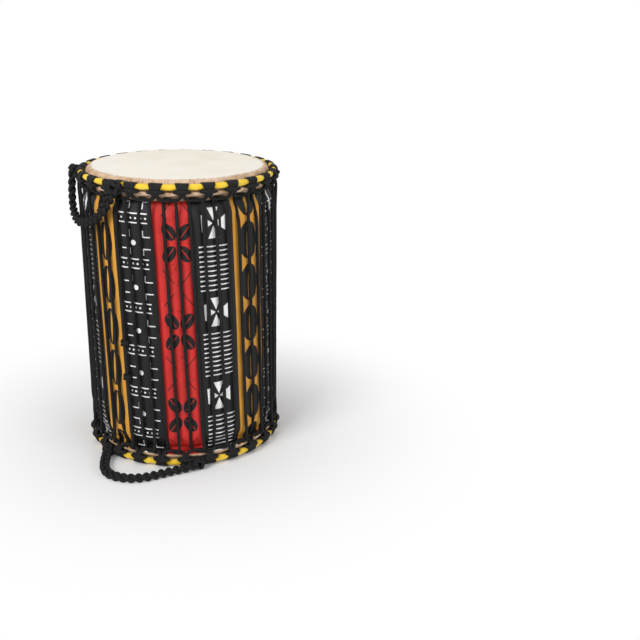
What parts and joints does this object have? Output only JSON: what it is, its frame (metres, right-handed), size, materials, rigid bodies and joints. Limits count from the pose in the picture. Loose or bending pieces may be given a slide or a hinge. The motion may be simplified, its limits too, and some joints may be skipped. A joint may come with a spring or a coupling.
{
  "type": "talking drum",
  "caption": "Cylindrical rope-tuned talking drum: wooden shell in printed cloth, hide heads on ring collars, laced with rope, with braided carrying loops; stands on its lower head",
  "frame": {"origin": "centre of the lower head's face, on the surface that the drum stands on", "axes": "+Z along the drum's axis towards the upper head, -Y towards the front, where the upper carrying loop is at the left"},
  "size_m": [0.2714, 0.2927, 0.375],
  "materials": {
    "wood": "bare carved wood",
    "printed_cloth": "printed cotton in black, red, ochre and white stripes",
    "hide": "scraped rawhide, tan at the edge",
    "steel_rod": "bent rod",
    "yellow_cloth": "wound cloth strip",
    "rope": "braided black cord",
    "braid": "black cord in a chain braid"
  },
  "bodies": {
    "drum": {"shell": "wood", "cloth_cover": "printed_cloth", "top_skin": "hide", "bottom_skin": "hide", "tension_rope": "rope", "tuning_knots": "rope"},
    "top_ring": {"top_flesh_ring": "steel_rod", "top_crown_ring": "steel_rod", "top_crown_strip": "yellow_cloth", "top_ring_rope": "rope", "top_handle": "braid", "top_handle_knots": "braid"},
    "bottom_ring": {"bottom_flesh_ring": "steel_rod", "bottom_crown_ring": "steel_rod", "bottom_crown_strip": "yellow_cloth", "bottom_ring_rope": "rope", "bottom_handle": "braid", "bottom_handle_knots": "braid"}
  },
  "joints": [
    {"name": "top_head_tuning", "type": "slide", "parent": "drum", "child": "top_ring", "axis": [0, 0, -1], "range_m": [0, 0.006], "deforming": ["top_skin", "tension_rope"]},
    {"name": "bottom_head_tuning", "type": "slide", "parent": "drum", "child": "bottom_ring", "axis": [0, 0, 1], "range_m": [0, 0.006], "deforming": ["bottom_skin", "tension_rope"]}
  ]
}
